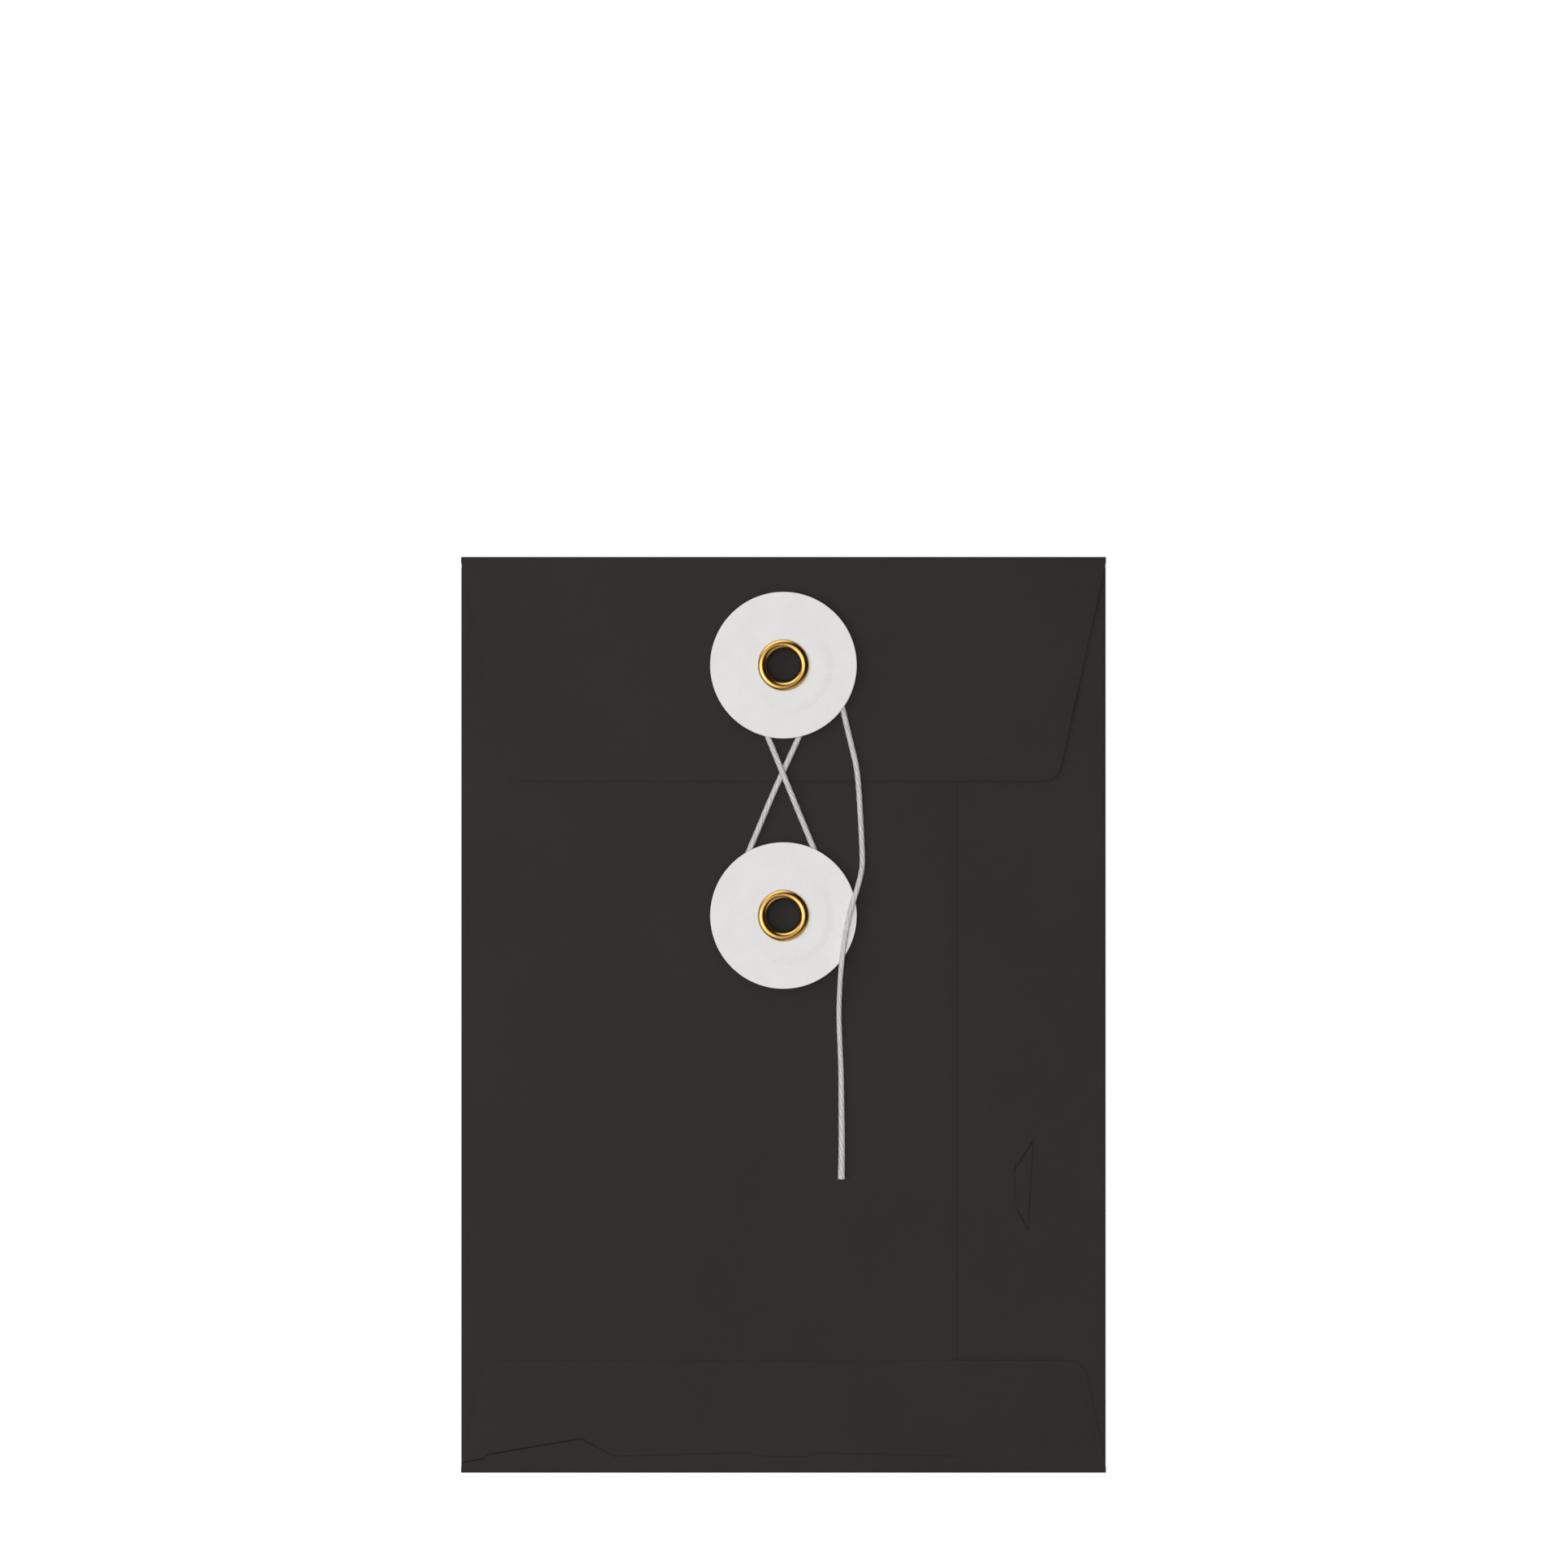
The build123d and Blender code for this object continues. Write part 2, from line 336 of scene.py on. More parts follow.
def speckle(tree, vector, scale, size, core, share):
    # small dots in some cells of a flat cell pattern, 1 inside a dot
    cells = newNode(tree, "TexVoronoi", {"Vector": vector, "Scale": scale}, voronoi_dimensions="2D")
    dot = remap(tree, cells["Distance"], (size * core, size), (1.0, 0.0))
    chance = newNode(tree, "SeparateColor", {"Color": cells["Color"]})["Red"]
    chosen = calculate(tree, "LESS_THAN", chance, share)
    return calculate(tree, "MULTIPLY", dot, chosen)


def makeCard(look):
    material, tree, shader = newMaterial("whiteCard")
    where = objectPlace(tree)
    clouds = noise(tree, where, *look["clouds"])
    tooth = noise(tree, where, *look["tooth"])
    fibres = streaks(tree, where, *look["fibres"])
    colour = toned(tree, look, clouds, tooth)
    for scale, size, share, strength in look["specks"]:
        specks = speckle(tree, where, scale, size, look["speckCore"], share)
        colour = mixColour(tree, calculate(tree, "MULTIPLY", specks, strength), colour, look["speck"])
    rough = remap(tree, clouds, *look["roughness"])
    relief = weighted(tree, (tooth, fibres), look["reliefShares"])
    finishLook(tree, shader, look, colour, rough, relief)
    return material


# Brass: bright rolled metal, a little tarnish and hair scratches, and painted shade inside the barrel and
# on the outer lip
brassLook = {
    "bright": (0.88, 0.515, 0.145, 1),
    "tarnish": (0.66, 0.360, 0.092, 1),
    "paintedShade": (0.30, 0.262, 0.195, 1),  # painted shade inside the barrel and on the flange's outer lip
    "stain": (700, 4),
    "scratches": ((900, 14000, 6000), (0.3, 0.2, 0.9), 2),
    "tarnishShow": ((0.48, 0.78), (0.0, 0.7)),
    "roughness": ((0.35, 0.75), (0.12, 0.20)),
    "scratchRoughness": ((0.6, 0.8), (0.0, 0.05)),
    "bump": (0.02, 0.00001),
    "plain": {"Metallic": 1.0},
}


def makeBrass(look):
    material, tree, shader = newMaterial("polishedBrass")
    where = objectPlace(tree)
    stain = noise(tree, where, *look["stain"])
    scratches = streaks(tree, where, *look["scratches"])
    tarnish = remap(tree, stain, *look["tarnishShow"])
    colour = mixColour(tree, tarnish, look["bright"], look["tarnish"])
    # painted shade darkens the barrel's inside and the flange's outer lip
    colour = mixColour(tree, attributeOf(tree, "paintedShade", "Fac"), colour, look["paintedShade"])
    scratched = remap(tree, scratches, *look["scratchRoughness"])
    rough = calculate(tree, "ADD", remap(tree, stain, *look["roughness"]), scratched)
    finishLook(tree, shader, look, colour, rough, scratches)
    return material


# String: soft cotton, fibres that follow the plies, painted shade in the grooves
stringLook = {
    "dark": (0.44, 0.435, 0.418, 1),
    "light": (0.735, 0.730, 0.710, 1),
    # painted shade colour for the grooves between the plies
    "groove": (0.19, 0.185, 0.173, 1),
    "yarn": ((9000, 9000, 700), (0, 0, 0), 3),
    "lint": (2600, 4),
    "toneShares": (0.7, 0.3),  # of yarn and lint
    "tone": ((0.32, 0.68), (0.0, 1.0)),
    "grooveShadeShow": ((0.35, 1.0), (0.0, 0.75)),
    "roughness": ((0.3, 0.7), (0.8, 0.95)),
    "bump": (0.6, 0.00005),
    "plain": {"Specular IOR Level": 0.2, "Sheen Weight": 0.15},
}


def makeString(look):
    material, tree, shader = newMaterial("cottonString")
    yarn = streaks(tree, attributeOf(tree, "lay", "Vector"), *look["yarn"])
    lint = noise(tree, objectPlace(tree), *look["lint"])
    colour = toned(tree, look, yarn, lint)
    # painted shade darkens the string in the grooves between the plies
    paintedShade = remap(tree, attributeOf(tree, "groove", "Fac"), *look["grooveShadeShow"])
    colour = mixColour(tree, paintedShade, colour, look["groove"])
    rough = remap(tree, lint, *look["roughness"])
    finishLook(tree, shader, look, colour, rough, yarn)
    return material


# Gum: dried film between the layers, a touch glossier than the paper
gumLook = {
    "dark": (0.030, 0.028, 0.024, 1),
    "light": (0.070, 0.066, 0.056, 1),
    "brushed": ((900, 150, 900), (0, 0, 0), 3),
    "toneShares": (1.0,),
    "tone": ((0.35, 0.7), (0.0, 1.0)),
    "roughness": ((0.3, 0.7), (0.35, 0.55)),
    "bump": (0.3, 0.00003),
    "plain": {},
}


def makeGum(look):
    material, tree, shader = newMaterial("driedGum")
    brushed = streaks(tree, objectPlace(tree), *look["brushed"])
    rough = remap(tree, brushed, *look["roughness"])
    finishLook(tree, shader, look, toned(tree, look, brushed), rough, brushed)
    return material


paperMaterial = makePaper(paperLook)
cardMaterial = makeCard(cardLook)
brassMaterial = makeBrass(brassLook)
stringMaterial = makeString(stringLook)
gumMaterial = makeGum(gumLook)
print("materials made")


# Paper layers
paperWave = {
    "height": 0.00011,
    "first": (0.083, 0.131),  # wavelengths along X and Y
    "second": (0.061, -0.097),
    "foldFade": 0.016,  # the wave dies away this far from a fold
    "washerFade": 0.015,  # and this far outside a washer
}
sheetEdges = {
    "soft": 0.00004,  # how far a cut edge is rounded
    "upturn": 0.00004,  # a cut edge stands up a little
    "upturnWidth": 0.0006,
    "thinning": 0.00017,  # and is pressed thinner over this width
    "thinningWidth": 0.0016,
    "least": 0.00002,  # thickness that always stays
    "insets": np.array([0.0022, 0.0014, 0.0009, 0.0006, 0.0003, 0.0001, 0.0]),
    "crowding": 1.3,  # power by which the rings crowd round a hole
    "sharpAngle": 0.6,
}


def paperLift(x, y):
    # two crossed waves, still at the four folds and round both eyelets
    still = np.ones(np.broadcast(x, y).shape)
    for distance in (x - west, east - x, y - south, north - y):
        still = still * smoothStep(distance / paperWave["foldFade"])
    for axis in (upperAxis, lowerAxis):
        beyond = np.hypot(x - axis[0], y - axis[1]) - washerRadius
        still = still * smoothStep(beyond / paperWave["washerFade"])
    lengths = (paperWave["first"], paperWave["second"])
    waves = sum(np.sin(turn * (x / along + y / across)) for along, across in lengths)
    return paperWave["height"] * still * waves


def segmentDistance(x, y, start, end):
    # distance in plan from each point to a straight segment
    run = np.subtract(end, start)
    share = ((x - start[0]) * run[0] + (y - start[1]) * run[1]) / np.dot(run, run)
    share = np.clip(share, 0, 1)
    return np.hypot(x - start[0] - share * run[0], y - start[1] - share * run[1])


def edgeDistance(x, y, corners):
    return np.min([segmentDistance(x, y, *pair) for pair in zip(corners, corners[1:])], axis=0)


def paperSheet(name, node, body, x, y, lift, rim, edges, thinning, wrapColumns, attributes):
    # cut edges stand up a little and are pressed thinner than the sheet, with the rim rounded above
    distance = edgeDistance(x, y, edges)
    lift = lift + sheetEdges["upturn"] * bell(distance, sheetEdges["upturnWidth"])
    thin = thinning * smoothStep(1 - distance / sheetEdges["thinningWidth"])
    thin = np.minimum(thin + sheetEdges["soft"] * rim, paperThickness - sheetEdges["least"])
    under, over = nodeBox(node)[:, 2]
    top = np.stack([x, y, over + lift - thin], axis=-1)
    bottom = np.stack([x, y, under + lift], axis=-1)
    piece = closedSheet(name, top, bottom, wrapColumns, paperMaterial, attributes)
    place(piece, body, "paper", node)


def cutOutline(corners, radii, spacing, arcPoints):
    # straight edges between the corners, anticlockwise, with a tangent arc at each rounded corner
    corners = np.array(corners)
    neighbours = (np.roll(corners, 1, 0), np.roll(corners, -1, 0))
    stops = []
    for corner, before, after, radius in zip(corners, *neighbours, radii):
        inward = (corner - before) / np.linalg.norm(corner - before)
        onward = (after - corner) / np.linalg.norm(after - corner)
        bend = np.arccos(np.clip(inward @ onward, -1, 1))
        start = corner - inward * radius * np.tan(bend / 2)
        centre = start + radius * np.array([-inward[1], inward[0]])
        sweep = np.arctan2(-inward[0], inward[1]) + bend * np.linspace(0, 1, arcPoints if radius else 1)
        stops.append(centre + radius * np.stack([np.cos(sweep), np.sin(sweep)], axis=-1))
    runs = []
    for arc, following in zip(stops, stops[1:] + stops[:1]):
        steps = max(1, int(np.ceil(np.linalg.norm(following[0] - arc[-1]) / spacing)))
        share = np.linspace(0, 1, steps, endpoint=False)[1:, None]
        runs += [arc, arc[-1] + share * (following[0] - arc[-1])]
    return np.concatenate(runs)


def holedPlan(outline, centre, rings):
    # rings from an eyelet's hole out to the outline, along rays from the hole's centre
    ray = outline - centre
    reach = np.linalg.norm(ray, axis=1)
    insets = sheetEdges["insets"][:, None]
    share = np.linspace(0, 1, rings, endpoint=False)[:, None] ** sheetEdges["crowding"]
    inner = eyeletHole + (reach - insets[0] - eyeletHole) * share
    radius = np.concatenate([inner, reach - insets])
    x = centre[0] + ray[:, 0] / reach * radius
    y = centre[1] + ray[:, 1] / reach * radius
    border = np.zeros(x.shape, bool)
    border[[0, -1]] = True
    return x, y, border


# Left back panel, with the lower eyelet's hole
leftPanel = {
    "spacing": 0.0011,  # of the points along its outline
    "rings": 44,
}


def makeLeftPanel():
    seam = leftBox[1, 0]
    shoulder = leftBox[1, 1]
    corners = [(west, south), (seam, south), (seam, throat), (-throatHalf, throat), (west, shoulder)]
    outline = cutOutline(corners, [0] * len(corners), leftPanel["spacing"], 1)
    x, y, border = holedPlan(outline, lowerAxis, leftPanel["rings"])
    rim = border & (x > west + sheetEdges["soft"])
    node = "left_back_panel"
    thinning = sheetEdges["thinning"]
    edges = corners[1:]
    paperSheet("leftBackPanel", node, "pocket", x, y, paperLift(x, y), rim, edges, thinning, True, {})


# Right side flap, with a small pressed dent whose edges are painted darker as shade
rightFlap = {
    "columns": (26, 44),  # plain and in the dent
    "rows": (70, 120),
    "dent": [(0.04415, -0.02230), (0.04085, -0.02735), (0.04130, -0.03450), (0.04330, -0.03790)],
    "dentLines": [0.85, 0.2, 0.85, 0.55],  # how deep each side's line is pressed and how dark it is painted as shade
    "dentMargin": 0.0006,
    "dentDepth": 0.00004,
    "dentSlope": 0.0010,
    "lineWidth": 0.00012,
    "lineDepth": 0.00003,
}


def crowded(low, high, start, end, counts):
    # values from low to high, the second count of them between start and end
    plain, dense = counts
    before = max(2, int(round(plain * (start - low) / (high - low - end + start))))
    after = max(2, plain - before)
    return np.concatenate([
        np.linspace(low, start, before, endpoint=False),
        np.linspace(start, end, dense, endpoint=False),
        np.linspace(end, high, after),
    ])


def makeRightFlap():
    lap = rightBox[0, 0]
    shoulder = rightBox[1, 1]
    dent = np.array(rightFlap["dent"])
    low = dent.min(axis=0) - rightFlap["dentMargin"]
    high = dent.max(axis=0) + rightFlap["dentMargin"]
    column = crowded(lap, east, low[0], high[0], rightFlap["columns"])
    row = crowded(south, throat, low[1], high[1], rightFlap["rows"])
    slope = (shoulder - throat) / (east - throatHalf)
    rise = np.maximum(column - throatHalf, 0) * slope
    upper = smoothStep((row - high[1]) / (throat - high[1]))[:, None]
    x = np.broadcast_to(column, (len(row), len(column)))
    y = row[:, None] + rise * upper
    pressed = np.zeros(x.shape)
    inside = np.full(x.shape, np.inf)
    for start, end, strength in zip(dent, np.roll(dent, -1, 0), rightFlap["dentLines"]):
        run = (end - start) / np.linalg.norm(end - start)
        inside = np.minimum(inside, run[0] * (y - start[1]) - run[1] * (x - start[0]))
        # each line is pressed in and painted darker as shade, more on some sides than others
        line = strength * bell(segmentDistance(x, y, start, end), rightFlap["lineWidth"])
        pressed = np.maximum(pressed, line)
    lift = paperLift(x, y) - rightFlap["lineDepth"] * pressed
    lift = lift - rightFlap["dentDepth"] * smoothStep(inside / rightFlap["dentSlope"])
    rim = np.zeros(x.shape, bool)
    rim[:, 0] = True
    rim[-1, :] = True
    edges = [(lap, south), (lap, throat), (throatHalf, throat), (east, shoulder)]
    node = "right_side_flap"
    thinning = sheetEdges["thinning"]
    attributes = {"pressed": pressed}
    paperSheet("rightSideFlap", node, "pocket", x, y, lift, rim, edges, thinning, False, attributes)


# Bottom flap: the lower edge of the panel beneath shows through as a pressed line, painted darker as shade
bottomFlap = {
    "thinning": 0.00021,
    "standsFrom": 0.0300,  # the stretch of its upper edge that stands clear
    "standsTo": 0.0510,
    "standsFade": 0.0020,
    "sag": 0.00022,  # its right edge lies down on the side flap
    "sagFrom": 0.0440,
    "sagWidth": 0.0060,
    "sagRise": 0.0035,
    "taper": 0.0039,
    "corner": 0.0035,
    "columns": 300,
    "rows": (10, 17, 40),  # below, along and above the line
    "cornerRows": 15,  # through the rounded corners
    "lineX": [-0.0570, -0.0529, -0.0523, -0.0358, -0.0299, -0.0065, -0.0029, 0.0035, 0.0064, 0.0308],
    "lineY": [-0.0792, -0.0784, -0.0777, -0.0749, -0.0780, -0.0774, -0.0781, -0.0781, -0.0774, -0.0780],
    # along the line: how deep it is pressed and how dark it is painted as shade
    "lineStrength": [0.85, 0.9, 0.9, 0.9, 0.45, 0.4, 0.3, 0.3, 0.4, 0.3],
    "lineWidth": 0.00012,
    "lineDepth": 0.00002,
    "step": 0.00004,
    "stepWidth": 0.0004,
    "lineMargin": 0.0004,
    "lineEnd": 0.0008,
    "linePasses": 3,  # to find the line's height in every column
}


def sideWidth(y, foldY, edgeY, taper, corner):
    # half the width of a tapered flap at y, its free corners rounded by a tangent arc
    rise = abs(edgeY - foldY)
    distance = np.abs(y - foldY)
    side = np.hypot(taper, rise)
    straight = halfWidth - taper * distance / rise
    arcDistance = rise - corner
    arcX = halfWidth - (corner * side + arcDistance * taper) / rise
    tangent = arcDistance + corner * taper / side
    curved = arcX + np.sqrt(np.maximum(corner ** 2 - (distance - arcDistance) ** 2, 0))
    return np.where(distance < tangent, straight, curved)


def makeBottomFlap():
    node = "bottom_flap"
    edge = nodeBox(node)[1, 1]
    shape = (south, edge, bottomFlap["taper"], bottomFlap["corner"])
    column = np.sin(np.linspace(-1, 1, bottomFlap["columns"]) * turn / 4)
    along = halfWidth * column
    for linePass in range(bottomFlap["linePasses"]):
        lineY = np.interp(along, bottomFlap["lineX"], bottomFlap["lineY"])
        along = sideWidth(lineY, *shape) * column
    # rows crowd along the line in every column, and towards the free edge
    below, within, above = bottomFlap["rows"]
    margin = bottomFlap["lineMargin"]
    straightEnd = edge - bottomFlap["corner"]
    quarter = np.linspace(0, turn / 4, bottomFlap["cornerRows"] + 1)[1:]
    cornerY = straightEnd + bottomFlap["corner"] * np.sin(quarter)
    y = np.concatenate([
        np.linspace(np.full(len(column), south), lineY - margin, below, endpoint=False),
        np.linspace(lineY - margin, lineY + margin, within),
        np.linspace(lineY + margin, np.full(len(column), straightEnd), above)[1:],
        np.repeat(cornerY[:, None], len(column), axis=1),
    ])
    x = sideWidth(y, *shape) * column
    lineY = np.interp(x, bottomFlap["lineX"], bottomFlap["lineY"])
    strength = np.interp(x, bottomFlap["lineX"], bottomFlap["lineStrength"])
    strength = strength * smoothStep((bottomFlap["lineX"][-1] - x) / bottomFlap["lineEnd"])
    # the line is pressed in and painted darker as shade
    pressed = strength * bell(y - lineY, bottomFlap["lineWidth"])
    step = bottomFlap["step"] * strength * smoothStep((lineY - y) / bottomFlap["stepWidth"])
    step = step * smoothStep((y - south) / bottomFlap["lineEnd"])
    tip = halfWidth - bottomFlap["taper"]
    corners = [(halfWidth, south), (tip, edge), (-tip, edge), (-halfWidth, south)]
    lift = paperLift(x, y) - bottomFlap["lineDepth"] * pressed - step
    sag = smoothStep((x - bottomFlap["sagFrom"]) / bottomFlap["sagWidth"])
    lift = lift - bottomFlap["sag"] * sag * smoothStep((y - south) / bottomFlap["sagRise"])
    rim = np.zeros(x.shape, bool)
    rim[:, [0, -1]] = True
    rim[-1, :] = True
    inStretch = np.minimum(x - bottomFlap["standsFrom"], bottomFlap["standsTo"] - x)
    thinning = bottomFlap["thinning"] * (1 - smoothStep(inStretch / bottomFlap["standsFade"]))
    attributes = {"pressed": pressed}
    paperSheet("bottomFlap", node, "pocket", x, y, lift, rim, corners, thinning, False, attributes)


# Closing flap, with the upper eyelet's hole. Its free corners stand up a little
closingFlap = {
    "taper": 0.0085,
    "corner": 0.0035,
    "curl": 0.00010,
    "thinning": 0.00010,
    "spacing": 0.0009,
    "rings": 34,
    "arcPoints": 14,
}


def makeClosingFlap():
    edge = flapBox[0, 1]
    tip = halfWidth - closingFlap["taper"]
    corners = [(halfWidth, north), (-halfWidth, north), (-tip, edge), (tip, edge)]
    radii = [0, 0, closingFlap["corner"], closingFlap["corner"]]
    outline = cutOutline(corners, radii, closingFlap["spacing"], closingFlap["arcPoints"])
    x, y, border = holedPlan(outline, upperAxis, closingFlap["rings"])
    curl = closingFlap["curl"] * (x / halfWidth) ** 2 * smoothStep((north - y) / (north - edge))
    lift = paperLift(x, y) + curl
    rim = border & (y < north - sheetEdges["soft"])
    edges = corners[1:] + corners[:1]
    node = "closing_flap"
    thinning = closingFlap["thinning"]
    paperSheet("closingFlap", node, "flap", x, y, lift, rim, edges, thinning, True, {})


# Folds, each a nearly half round bend between two layers
folds = {
    "arcRows": 21,
    "columns": 120,
    "power": 0.70,  # of the sine and cosine, 1 for a half round and less for a squarer fold
    "ridge": 0.45,  # radians of the bend that are rubbed
}


def makeFold(name, node, outAxis, outSign):
    # points go round the fold's line from the lower layer to the upper one
    box = nodeBox(node)
    alongAxis = 1 - outAxis
    radius = np.ptp(box[:, 2]) / 2
    foldLine = box[0, outAxis] if outSign > 0 else box[1, outAxis]
    angle = np.linspace(-turn / 4, turn / 4, folds["arcRows"])[:, None]
    along = np.linspace(box[0, alongAxis], box[1, alongAxis], folds["columns"])[None, :]
    out = np.cos(angle).clip(0) ** folds["power"]
    up = np.sign(angle) * np.abs(np.sin(angle)) ** folds["power"]

    def layer(layerRadius):
        points = np.zeros((folds["arcRows"], folds["columns"], 3))
        points[:, :, outAxis] = foldLine + outSign * layerRadius * out
        points[:, :, alongAxis] = along
        points[:, :, 2] = box[0, 2] + radius + layerRadius * up
        return points

    wear = np.broadcast_to(bell(angle, folds["ridge"]), (folds["arcRows"], folds["columns"]))
    inside = layer(radius - paperThickness)
    sheet = closedSheet(name, layer(radius), inside, False, paperMaterial, {"wear": wear})
    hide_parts(node)
    return sheet


# Gum films between the layers
gumFilm = {"columns": 40, "rows": 120}


def makeGumFilm(name, node):
    box = nodeBox(node)
    column = np.linspace(box[0, 0], box[1, 0], gumFilm["columns"])
    row = np.linspace(box[0, 1], box[1, 1], gumFilm["rows"])
    x, y = np.meshgrid(column, row)
    top = np.stack([x, y, box[1, 2] + paperLift(x, y)], axis=-1)
    bottom = np.stack([x, y, box[0, 2] + paperLift(x, y)], axis=-1)
    piece = closedSheet(name, top, bottom, False, gumMaterial, {})
    place(piece, "pocket", "gum", node)


makeLeftPanel()
makeRightFlap()
makeBottomFlap()
makeClosingFlap()
for name, node, outAxis, outSign in (
    ("leftFold", "left_crease", 0, -1),
    ("rightFold", "right_crease", 0, 1),
    ("bottomFold", "bottom_crease", 1, -1),
):
    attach(makeFold(name, node, outAxis, outSign), "pocket")
topFold = makeFold("topFold", "flap_crease", 1, 1)
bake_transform(topFold)
makeGumFilm("sideSeamGum", "side_seam_gum")
makeGumFilm("bottomFlapGum", "bottom_flap_gum")
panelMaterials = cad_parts["front_panel"].data.materials
for index in range(len(panelMaterials)):
    panelMaterials[index] = paperMaterial
print("paper layers made")


# Card washers: a soft die-cut rim with two plies, and a shallow ring pressed in by the eyelet
washer = {
    "rimRound": 0.00016,
    "plyGroove": 0.000025,
    "plyWidth": 0.00006,
    "dimple": 0.00007,
    "dimpleRadius": 0.0050,
    "dimpleWidth": 0.0011,
    "slope": 0.00024,  # the card falls off outside the string that is wound beneath it
    "slopeStart": 0.0074,
    "slopeWidth": 0.0017,
    "slopeSide": -0.9,  # most towards this side
    "topPoints": 60,
    "roundPoints": 7,
    "sidePoints": 11,
    "columns": 192,
    "sharpAngle": 0.6,
}


def makeWasher(name, node, body):
    box = nodeBox(node)
    centre = box.mean(axis=0)
    under, over = box[:, 2]
    soft = washer["rimRound"]
    inner = washerRadius - soft
    topRadius = np.linspace(inner, eyeletHole, washer["topPoints"])
    topHeight = over - washer["dimple"] * bell(topRadius - washer["dimpleRadius"], washer["dimpleWidth"])
    corner = np.linspace(0, turn / 4, washer["roundPoints"])
    side = np.linspace(under + soft, over - soft, washer["sidePoints"])[1:-1]
    groove = washer["plyGroove"] * bell(side - centre[2], washer["plyWidth"])
    radius = np.concatenate([
        [eyeletHole],
        inner + soft * np.sin(corner),
        washerRadius - groove,
        inner + soft * np.cos(corner),
        topRadius[1:],
    ])
    height = np.concatenate([
        [under],
        under + soft - soft * np.cos(corner),
        side,
        over - soft + soft * np.sin(corner),
        topHeight[1:],
    ])
    towards = np.arange(washer["columns"]) / washer["columns"] * turn - washer["slopeSide"]
    fall = smoothStep((radius - washer["slopeStart"]) / washer["slopeWidth"]) * (height > centre[2])
    height = height[:, None] - washer["slope"] * fall[:, None] * (1 + np.cos(towards)) / 2
    piece = lathe(name, centre, radius, height, washer, cardMaterial, {})
    place(piece, body, "washer_card", node)


makeWasher("upperWasher", "upper_washer", "upper_disc")
makeWasher("lowerWasher", "lower_washer", "lower_disc")
print("washers made")


# Brass eyelets: a rolled flange, a barrel and a clinch rolled over under the paper
eyelet = {
    "bore": 0.0030,
    "wall": 0.00025,
    "barrelShadeFade": 0.0004,  # how fast the painted shade comes in below the flange
    "lipShadeStrength": 0.7,  # the flange's outer lip gets painted shade too
    "lipWidth": 0.00022,
    "rollPoints": 49,
    "columns": 160,
    "sharpAngle": 0.9,
}
flangeRoll = {
    "width": 0.00155,
    "crown": 0.00056,
    "edge": 0.00004,  # the upright part below the crown
    "hollow": 0.00035,
}
clinchRoll = {
    "width": 0.0013,
    "crown": -0.00045,
    "edge": -0.0001,
    "hollow": -0.0003,
}


def rolledEnd(level, roll):
    # over the outside of the roll from the bore, and back along its hollow to the barrel's outside
    angle = np.linspace(0, np.pi, eyelet["rollPoints"])
    swing = (1 - np.cos(angle)) / 2
    outside = eyelet["bore"] + roll["width"] * swing
    rise = roll["edge"] + roll["crown"] * np.sin(angle).clip(0)
    inside = eyelet["bore"] + eyelet["wall"] + (roll["width"] - 2 * eyelet["wall"]) * swing
    sunk = roll["hollow"] * np.sin(angle)
    radius = np.concatenate([outside, outside[-1:], inside[::-1]])
    return radius, level + np.concatenate([rise, [0], sunk[::-1]])


def makeEyelet(name, node, body):
    box = nodeBox(node)
    flangeLevel = box[1, 2] - flangeRoll["edge"] - flangeRoll["crown"]
    clinchLevel = box[0, 2] - clinchRoll["edge"] - clinchRoll["crown"]
    flangeRadius, flangeHeight = rolledEnd(flangeLevel, flangeRoll)
    clinchRadius, clinchHeight = rolledEnd(clinchLevel, clinchRoll)
    radius = np.concatenate([flangeRadius, clinchRadius[::-1]])
    height = np.concatenate([flangeHeight, clinchHeight[::-1]])[:, None]
    # painted shade down inside the barrel and along the flange's outer lip
    barrelShade = smoothStep((flangeLevel + flangeRoll["edge"] - height) / eyelet["barrelShadeFade"])
    lipStart = eyelet["bore"] + flangeRoll["width"] - eyelet["lipWidth"]
    lipShade = eyelet["lipShadeStrength"] * smoothStep((radius - lipStart) / eyelet["lipWidth"])[:, None]
    paintedShade = {"paintedShade": np.maximum(barrelShade, lipShade)}
    piece = lathe(name, box.mean(axis=0), radius, height, eyelet, brassMaterial, paintedShade)
    place(piece, body, "brass", node)


makeEyelet("upperEyelet", "upper_eyelet", "flap")
makeEyelet("lowerEyelet", "lower_eyelet", "pocket")
print("eyelets made")


